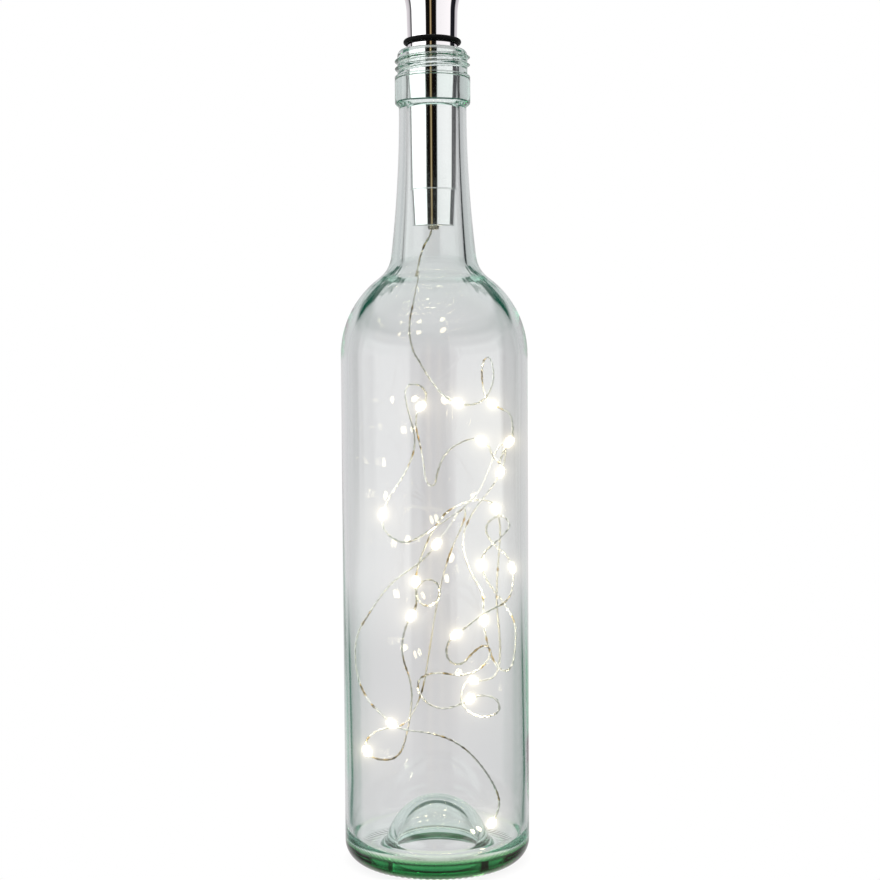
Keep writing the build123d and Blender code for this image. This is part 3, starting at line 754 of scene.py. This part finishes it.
def make_head():
    """The flared cap, with its straight side, its flare and a softened brim."""
    side_top = (HEAD_BASE_RADIUS + math.tan(HEAD_LEAN) * HEAD_STRAIGHT, HEAD_Z + HEAD_STRAIGHT)
    lean = math.degrees(HEAD_LEAN)
    flare_centre = (
        side_top[0] + HEAD_FLARE_RADIUS * math.cos(HEAD_LEAN),
        side_top[1] - HEAD_FLARE_RADIUS * math.sin(HEAD_LEAN),
    )
    flare_end = 180 - lean - math.degrees(HEAD_FLARE)
    flare = arc(flare_centre, HEAD_FLARE_RADIUS, 180 - lean, flare_end, HEAD_FLARE_STEPS)
    brim_r, brim_z = flare[-1]
    top_z = brim_z + HEAD_BRIM + HEAD_EDGE
    outline = rounded([
        (HEAD_BORE_RADIUS, HEAD_CEILING_Z, 0),
        (HEAD_BORE_RADIUS, HEAD_Z, EDGE_ROUND),
        (HEAD_BASE_RADIUS, HEAD_Z, EDGE_ROUND),
        (side_top[0], side_top[1], 0),
    ])
    outline += flare[1:]
    outline += rounded([
        (brim_r, brim_z, 0),
        (brim_r, top_z, HEAD_EDGE),
        (0, top_z, 0),
    ])[1:]
    outline = [(0, HEAD_CEILING_Z)] + outline
    head = lathe("head_chrome", outline, STOPPER_SEGMENTS)
    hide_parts("stopper_head")
    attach(head, "head")
    return head


# Wire and lamps

def route_line(points, name):
    """Points along the smooth spline that a route controls."""
    curve = bpy.data.curves.new(name, "CURVE")
    curve.dimensions = "3D"
    spline = curve.splines.new("NURBS")
    spline.points.add(len(points) - 1)
    for target, point in zip(spline.points, points):
        target.co = (*point, 1.0)
    spline.order_u = 3
    spline.use_endpoint_u = True
    spline.resolution_u = SPLINE_RESOLUTION
    holder = bpy.data.objects.new(name, curve)
    line = bpy.data.meshes.new_from_object(holder)
    found = [vertex.co.copy() for vertex in line.vertices]
    bpy.data.meshes.remove(line)
    bpy.data.objects.remove(holder)
    bpy.data.curves.remove(curve)
    return found


def frames_along(points):
    """Place, two cross directions and length so far at each point, carried along without twist."""
    frames = []
    side = Vector((1.0, 0.0, 0.0))
    travelled = 0.0
    last = len(points) - 1
    for index, point in enumerate(points):
        ahead = (points[min(index + 1, last)] - points[max(index - 1, 0)]).normalized()
        side = (side - ahead * side.dot(ahead)).normalized()
        if index:
            travelled += (point - points[index - 1]).length
        frames.append((point, side, ahead.cross(side), travelled))
    return frames


def add_tube(bm, centres, radius, sides):
    """A tube with closed ends round a list of centre and cross directions."""
    rings = []
    for centre, side, other in centres:
        ring = []
        for step in range(sides):
            turn = 2 * math.pi * step / sides
            ring.append(bm.verts.new(centre + radius * (math.cos(turn) * side + math.sin(turn) * other)))
        rings.append(ring)
    for low, high in zip(rings, rings[1:]):
        for step in range(sides):
            after = (step + 1) % sides
            bm.faces.new([low[step], low[after], high[after], high[step]])
    bm.faces.new(rings[0][::-1])
    bm.faces.new(rings[-1])


def make_wire(line):
    """Two fine strands, lightly twisted about each other, as one mesh."""
    bm = bmesh.new()
    frames = frames_along(line)
    for start in (0.0, math.pi):
        centres = []
        for point, side, other, travelled in frames:
            turn = start + 2 * math.pi * travelled / STRAND_PITCH
            centre = point + STRAND_OFFSET * (math.cos(turn) * side + math.sin(turn) * other)
            centres.append((centre, side, other))
        add_tube(bm, centres, STRAND_RADIUS, STRAND_SIDES)
    return mesh_piece("lamp_wire", bm)


def make_bead(number, place, along):
    """A resin drop round the wire: a crowned barrel with pinched ends."""
    outline = []
    for step in range(BEAD_STEPS + 1):
        angle = math.pi * step / BEAD_STEPS
        swell = math.sin(angle) ** BEAD_FULLNESS
        outline.append((BEAD_RADIUS * swell, -0.5 * BEAD_LENGTH * math.cos(angle)))
    outline[0] = (0.0, outline[0][1])
    outline[-1] = (0.0, outline[-1][1])
    bead = lathe(f"lamp_{number:02d}", outline, BEAD_SEGMENTS)
    bead.data.transform(Matrix.Translation(place) @ along.to_track_quat("Z", "X").to_matrix().to_4x4())
    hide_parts(f"lamp_bead_{number:02d}")
    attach(bead, "bottle")
    return bead


def make_string():
    """The wire along its route, with a lamp on each lamp run and one at its end."""
    points = [Vector(point) for point in ROUTE]
    line = route_line(points, "route")
    wire = make_wire(line)
    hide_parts("lead_in_wire", "string_wire")
    beads = []
    for number, run in enumerate(LAMP_RUNS, start=1):
        place = (points[run] + points[run + 1]) / 2
        beads.append(make_bead(number, place, points[run + 1] - points[run]))
    beads.append(make_bead(len(LAMP_RUNS) + 1, points[-1], points[-1] - points[-2]))
    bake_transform(wire)
    return wire, beads


def make_spring():
    """The contact spring as a round wire wound in a cone."""
    centres = []
    steps = round(SPRING_TURNS * SPRING_STEPS)
    up = Vector((0.0, 0.0, 1.0))
    for step in range(steps + 1):
        share = step / steps
        turn = 2 * math.pi * SPRING_TURNS * share
        radius = SPRING_FOOT_RADIUS + (SPRING_TOP_RADIUS - SPRING_FOOT_RADIUS) * share
        out = Vector((math.cos(turn), math.sin(turn), 0.0))
        height = SPRING_LOW_Z + (SPRING_HIGH_Z - SPRING_LOW_Z) * share
        centres.append((out * radius + up * height, out, up))
    bm = bmesh.new()
    add_tube(bm, centres, SPRING_WIRE_RADIUS, SPRING_SIDES)
    spring = mesh_piece("spring_wire", bm)
    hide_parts("contact_spring")
    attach(spring, "spring")
    return spring


# Materials

def new_material(name):
    """An empty node material with its output node."""
    material = bpy.data.materials.new(name)
    material.use_nodes = True
    material.node_tree.nodes.clear()
    output = material.node_tree.nodes.new("ShaderNodeOutputMaterial")
    return material, material.node_tree, output


def add_principled(tree, output, **values):
    """A Principled shader on the surface, with the given sockets set."""
    shader = tree.nodes.new("ShaderNodeBsdfPrincipled")
    for socket, value in values.items():
        shader.inputs[socket.replace("_", " ")].default_value = value
    tree.links.new(shader.outputs["BSDF"], output.inputs["Surface"])
    return shader


def add_noise(tree, scale, detail=3.0, roughness=0.5):
    """Noise over the object's own coordinates."""
    place = tree.nodes.new("ShaderNodeTexCoord")
    noise = tree.nodes.new("ShaderNodeTexNoise")
    noise.inputs["Scale"].default_value = scale
    noise.inputs["Detail"].default_value = detail
    noise.inputs["Roughness"].default_value = roughness
    tree.links.new(place.outputs["Object"], noise.inputs["Vector"])
    return noise


def add_ramp(tree, source, stops):
    """A colour ramp over a value; each stop is a position and a colour."""
    ramp = tree.nodes.new("ShaderNodeValToRGB")
    while len(ramp.color_ramp.elements) < len(stops):
        ramp.color_ramp.elements.new(0.5)
    for element, (position, colour) in zip(ramp.color_ramp.elements, stops):
        element.position = position
        element.color = (*colour, 1.0)
    tree.links.new(source, ramp.inputs["Fac"])
    return ramp


def add_bump(tree, shader, source, strength, distance):
    """Relief on a shader from a value."""
    bump = tree.nodes.new("ShaderNodeBump")
    bump.inputs["Strength"].default_value = strength
    bump.inputs["Distance"].default_value = distance
    tree.links.new(source, bump.inputs["Height"])
    tree.links.new(bump.outputs["Normal"], shader.inputs["Normal"])


def add_math(tree, operation, *values):
    """A math node over sockets or numbers."""
    node = tree.nodes.new("ShaderNodeMath")
    node.operation = operation
    for socket, value in zip(node.inputs, values):
        if isinstance(value, (int, float)):
            socket.default_value = value
        else:
            tree.links.new(value, socket)
    return node.outputs[0]


def join_colour(tree, source, socket):
    """A node's colour linked to a socket, or a plain colour set on it."""
    if isinstance(source, tuple):
        socket.default_value = (*source, 1.0)
        return
    name = "Result" if source.type == "MIX" else "Color"
    tree.links.new(source.outputs[name], socket)


def add_mix(tree, factor, first, second, blend="MIX"):
    """A mix of two colours, each a node's or plain, by a node's value."""
    mix = tree.nodes.new("ShaderNodeMix")
    mix.data_type = "RGBA"
    mix.blend_type = blend
    tree.links.new(factor.outputs[0], mix.inputs["Factor"])
    join_colour(tree, first, mix.inputs["A"])
    join_colour(tree, second, mix.inputs["B"])
    return mix


def glass_material():
    """Clear glass whose thickness turns it green, with a green colour on the outside of the heel whose
    dark and bright bands are painted shade and painted highlight.
    """
    material, tree, output = new_material("glass")
    shader = add_principled(tree, output, Roughness=0.0, IOR=GLASS_IOR, Transmission_Weight=1.0)
    place = tree.nodes.new("ShaderNodeTexCoord")
    split = tree.nodes.new("ShaderNodeSeparateXYZ")
    tree.links.new(place.outputs["Object"], split.inputs["Vector"])
    across = add_math(tree, "POWER", split.outputs["X"], 2.0)
    along = add_math(tree, "POWER", split.outputs["Y"], 2.0)
    radius = add_math(tree, "SQRT", add_math(tree, "ADD", across, along))
    reach = tree.nodes.new("ShaderNodeMapRange")
    reach.inputs["From Min"].default_value = HEEL_REACH[0]
    reach.inputs["From Max"].default_value = HEEL_REACH[1]
    tree.links.new(add_math(tree, "SUBTRACT", radius, split.outputs["Z"]), reach.inputs["Value"])
    side = tree.nodes.new("ShaderNodeNewGeometry")
    outside = add_math(tree, "SUBTRACT", 1.0, side.outputs["Backfacing"])
    heel = add_math(tree, "MULTIPLY", reach.outputs["Result"], outside)
    top = HEEL_GREEN_AND_PAINTED_LIGHT[-1][0]
    height = add_math(tree, "DIVIDE", split.outputs["Z"], top * MM)
    # the heel's dark and bright green bands by height are painted shade and painted highlight over the
    # glass's green
    heel_green_and_painted_light = add_ramp(tree, height, [(level / top, colour) for level, colour in HEEL_GREEN_AND_PAINTED_LIGHT])
    heel_colour_and_painted_light = add_mix(tree, heel.node, WHITE, heel_green_and_painted_light)
    tree.links.new(heel_colour_and_painted_light.outputs["Result"], shader.inputs["Base Color"])
    noise = add_noise(tree, GLASS_RIPPLE_SCALE, detail=2.0)
    add_bump(tree, shader, noise.outputs["Fac"], GLASS_RIPPLE_STRENGTH, GLASS_RIPPLE_DEPTH)
    absorb = tree.nodes.new("ShaderNodeVolumeAbsorption")
    absorb.inputs["Color"].default_value = (*GLASS_TINT, 1.0)
    absorb.inputs["Density"].default_value = GLASS_DENSITY
    tree.links.new(absorb.outputs["Volume"], output.inputs["Volume"])
    return material


def chrome_material():
    """Polished plating with faint handling marks in its gloss."""
    material, tree, output = new_material("chrome")
    shader = add_principled(tree, output, Base_Color=CHROME_COLOUR, Metallic=1.0)
    noise = add_noise(tree, CHROME_GRAIN, detail=5.0)
    ramp = add_ramp(tree, noise.outputs["Fac"], CHROME_GLOSS)
    tree.links.new(ramp.outputs["Color"], shader.inputs["Roughness"])
    return material


def rubber_material():
    """Black rubber with a fine matt grain."""
    material, tree, output = new_material("rubber")
    shader = add_principled(tree, output, Roughness=0.6, Specular_IOR_Level=0.15)
    noise = add_noise(tree, RUBBER_GRAIN)
    ramp = add_ramp(tree, noise.outputs["Fac"], RUBBER_TONES)
    tree.links.new(ramp.outputs["Color"], shader.inputs["Base Color"])
    add_bump(tree, shader, noise.outputs["Fac"], 0.2, 0.1 * MM)
    return material


def gland_material():
    """The bush's pale, slightly clear plastic."""
    material, tree, output = new_material("gland")
    shader = add_principled(tree, output, Roughness=0.3, Transmission_Weight=0.4)
    noise = add_noise(tree, GLAND_GRAIN)
    ramp = add_ramp(tree, noise.outputs["Fac"], GLAND_TONES)
    tree.links.new(ramp.outputs["Color"], shader.inputs["Base Color"])
    return material


def wire_material():
    """Silvered wire that shows dark and coppery stretches."""
    material, tree, output = new_material("wire")
    shader = add_principled(tree, output, Metallic=0.75, Roughness=0.12)
    noise = add_noise(tree, WIRE_GRAIN, detail=2.0)
    ramp = add_ramp(tree, noise.outputs["Fac"], WIRE_TONES)
    tree.links.new(ramp.outputs["Color"], shader.inputs["Base Color"])
    return material


def lamp_material():
    """A lit resin drop whose glow wanders between a warm tone and a whiter one."""
    material, tree, output = new_material("lamp")
    shader = add_principled(
        tree, output, Base_Color=LAMP_RESIN, Roughness=0.2, Emission_Strength=LAMP_STRENGTH,
    )
    noise = add_noise(tree, LAMP_GRAIN)
    ramp = add_ramp(tree, noise.outputs["Fac"], LAMP_TONES)
    tree.links.new(ramp.outputs["Color"], shader.inputs["Emission Color"])
    return material


def plain_material(name, low, high, roughness, metallic=0.0, scale=400.0):
    """A surface whose colour wanders a little between two tones."""
    material, tree, output = new_material(name)
    shader = add_principled(tree, output, Roughness=roughness, Metallic=metallic)
    noise = add_noise(tree, scale)
    ramp = add_ramp(tree, noise.outputs["Fac"], [(0.3, low), (0.7, high)])
    tree.links.new(ramp.outputs["Color"], shader.inputs["Base Color"])
    add_bump(tree, shader, noise.outputs["Fac"], 0.15, 0.05 * MM)
    return material


def dress(piece, material):
    """One material over a whole piece."""
    piece.data.materials.clear()
    piece.data.materials.append(material)


def dress_inside():
    """Materials for the pieces that the stopper hides."""
    brass = plain_material("brass", (0.60, 0.42, 0.16), (0.72, 0.52, 0.22), 0.25, metallic=1.0)
    plastic = plain_material("inner_plastic", (0.70, 0.70, 0.68), (0.78, 0.78, 0.76), 0.5)
    black = plain_material("chip_black", (0.010, 0.010, 0.011), (0.022, 0.022, 0.024), 0.45)
    for node, material in (
        ("driver_board", plain_material("board", (0.015, 0.10, 0.045), (0.025, 0.15, 0.065), 0.35)),
        ("inductor", plain_material("ferrite", (0.03, 0.03, 0.03), (0.06, 0.06, 0.06), 0.6)),
        ("driver_chip", black),
        ("capacitor", plain_material("ceramic", (0.42, 0.30, 0.18), (0.52, 0.38, 0.24), 0.4)),
        ("contact_post", brass),
        ("contact_disc", brass),
        ("contact_carrier", plastic),
        ("contact_insulator", plastic),
        ("cell", plain_material("cell_can", (0.30, 0.31, 0.33), (0.38, 0.39, 0.41), 0.3, metallic=0.6)),
    ):
        dress(nodes[node], material)


# Stage

def add_turn_ramp(tree, share, stops):
    """Colours by angle in degrees: 0 is towards the camera and 90 to its right."""
    return add_ramp(tree, share, [(0.5 + degrees / 360.0, colour) for degrees, colour in stops])


def add_height_ramp(tree, level, stops):
    """Colours by height: -1 is straight down and 1 straight up."""
    return add_ramp(tree, level, [(0.5 + 0.5 * height, colour) for height, colour in stops])


def add_studio(tree, share, level, room, ring, cards):
    """A ring of light by angle, with the room above and below it and dark cards before it."""
    lit = add_turn_ramp(tree, share, ring)
    edge = add_height_ramp(tree, level, LIGHT_HEIGHTS)
    lit = add_mix(tree, edge, lit, room)
    for turns, heights in cards:
        card = add_turn_ramp(tree, share, turns)
        band = add_height_ramp(tree, level, heights)
        lit = add_mix(tree, band, lit, card, blend="MULTIPLY")
    return lit


def make_world():
    """Softboxes and dark gaps for what is reflected, a pale backdrop for what shows through the glass."""
    world = bpy.data.worlds.new("studio")
    bpy.context.scene.world = world
    world.use_nodes = True
    tree = world.node_tree
    tree.nodes.clear()
    place = tree.nodes.new("ShaderNodeTexCoord")
    split = tree.nodes.new("ShaderNodeSeparateXYZ")
    tree.links.new(place.outputs["Generated"], split.inputs["Vector"])
    toward = add_math(tree, "MULTIPLY", split.outputs["Y"], -1.0)
    turn = add_math(tree, "ARCTAN2", split.outputs["X"], toward)
    share = add_math(tree, "MULTIPLY_ADD", turn, 1.0 / (2 * math.pi), 0.5)
    level = add_math(tree, "MULTIPLY_ADD", split.outputs["Z"], 0.5, 0.5)
    path = tree.nodes.new("ShaderNodeLightPath")
    in_glass = add_math(tree, "MINIMUM", path.outputs["Transmission Depth"], 1.0)
    bounces = add_math(tree, "ADD", path.outputs["Glossy Depth"], path.outputs["Diffuse Depth"])
    bounced = add_math(tree, "MINIMUM", bounces, 1.0)
    open_room = add_height_ramp(tree, level, ROOM_HEIGHTS)
    glass_room = add_height_ramp(tree, level, GLASS_HEIGHTS)
    room = add_mix(tree, in_glass.node, open_room, glass_room)
    through = add_studio(tree, share, level, room, BACKDROP_RING, [BACKDROP_CARDS])
    cards = [CAMERA_CARD, FLAGS, LOW_CARDS, FRONT_GROUND]
    mirrored = add_studio(tree, share, level, room, LIGHT_RING, cards)
    mix = add_mix(tree, bounced.node, through, mirrored)
    studio = tree.nodes.new("ShaderNodeBackground")
    studio.inputs["Strength"].default_value = LIGHT_STRENGTH
    tree.links.new(mix.outputs["Result"], studio.inputs["Color"])
    white = tree.nodes.new("ShaderNodeBackground")
    white.inputs["Color"].default_value = (*WHITE, 1.0)
    join_for_camera(tree, studio, white, tree.nodes.new("ShaderNodeOutputWorld"))


def join_for_camera(tree, lit, seen, output):
    """What lights the object, and the plain white that shows behind it."""
    path = tree.nodes.new("ShaderNodeLightPath")
    choose = tree.nodes.new("ShaderNodeMixShader")
    tree.links.new(path.outputs["Is Camera Ray"], choose.inputs["Fac"])
    tree.links.new(lit.outputs[0], choose.inputs[1])
    tree.links.new(seen.outputs[0], choose.inputs[2])
    tree.links.new(choose.outputs["Shader"], output.inputs["Surface"])


def make_floor():
    """A plain white floor with a soft contact shade, which only the camera sees."""
    bm = bmesh.new()
    bmesh.ops.create_grid(bm, x_segments=1, y_segments=1, size=FLOOR_HALF)
    floor = mesh_piece("floor", bm)
    floor.location.z = -FLOOR_DROP
    material, tree, output = new_material("floor")
    lit = tree.nodes.new("ShaderNodeBsdfTransparent")
    seen = tree.nodes.new("ShaderNodeEmission")
    place = tree.nodes.new("ShaderNodeTexCoord")
    reach = tree.nodes.new("ShaderNodeVectorMath")
    reach.operation = "LENGTH"
    tree.links.new(place.outputs["Object"], reach.inputs[0])
    span = add_math(tree, "DIVIDE", reach.outputs["Value"], SHADOW_REACH)
    shade = add_ramp(tree, span, SHADOW_STOPS)
    tree.links.new(shade.outputs["Color"], seen.inputs["Color"])
    join_for_camera(tree, lit, seen, output)
    dress(floor, material)


def make_camera():
    """The camera that the photograph was taken with, as fitted to its outline."""
    camera = bpy.data.objects.new("camera", bpy.data.cameras.new("camera"))
    bpy.context.scene.collection.objects.link(camera)
    camera.data.sensor_width = SENSOR
    camera.data.lens = FOCAL_LENGTH
    ahead = Vector((0.0, math.cos(CAMERA_PITCH), -math.sin(CAMERA_PITCH)))
    level_up = Vector((0.0, math.sin(CAMERA_PITCH), math.cos(CAMERA_PITCH)))
    level_right = Vector((1.0, 0.0, 0.0))
    right = level_right * math.cos(CAMERA_ROLL) - level_up * math.sin(CAMERA_ROLL)
    up = level_up * math.cos(CAMERA_ROLL) + level_right * math.sin(CAMERA_ROLL)
    turn = Matrix((right, up, -ahead)).transposed().to_4x4()
    camera.matrix_world = Matrix.Translation(CAMERA_PLACE) @ turn
    bpy.context.scene.camera = camera


def make_glow():
    """A soft bloom round the lamps, as the photograph's lens gives."""
    scene = bpy.context.scene
    scene.use_nodes = True
    tree = scene.node_tree
    tree.nodes.clear()
    layers = tree.nodes.new("CompositorNodeRLayers")
    glare = tree.nodes.new("CompositorNodeGlare")
    glare.glare_type = "BLOOM"
    glare.inputs["Threshold"].default_value = GLOW_THRESHOLD
    glare.inputs["Strength"].default_value = GLOW_STRENGTH
    glare.inputs["Size"].default_value = GLOW_SIZE
    result = tree.nodes.new("CompositorNodeComposite")
    tree.links.new(layers.outputs["Image"], glare.inputs["Image"])
    tree.links.new(glare.outputs["Image"], result.inputs["Image"])


# Assembly

make_camera()
wire, beads = make_string()
bottle = make_bottle()
barrel, nose, gland, o_ring = make_stopper()
head = make_head()
spring = make_spring()

chrome = chrome_material()
rubber = rubber_material()
steel = plain_material("spring_steel", (0.55, 0.55, 0.55), (0.68, 0.68, 0.68), 0.3, metallic=1.0)
lamp = lamp_material()
dress(bottle, glass_material())
for piece in (barrel, nose, head):
    dress(piece, chrome)
dress(o_ring, rubber)
dress(gland, gland_material())
dress(wire, wire_material())
dress(spring, steel)
for bead in beads:
    dress(bead, lamp)
dress(nodes["lamp_chips"], lamp)
dress_inside()

make_floor()
make_world()
make_glow()
cycles = bpy.context.scene.cycles
cycles.max_bounces = LIGHT_BOUNCES
cycles.transmission_bounces = LIGHT_BOUNCES
cycles.glossy_bounces = LIGHT_BOUNCES
view = bpy.context.scene.view_settings
view.view_transform = "Standard"
view.look = "None"
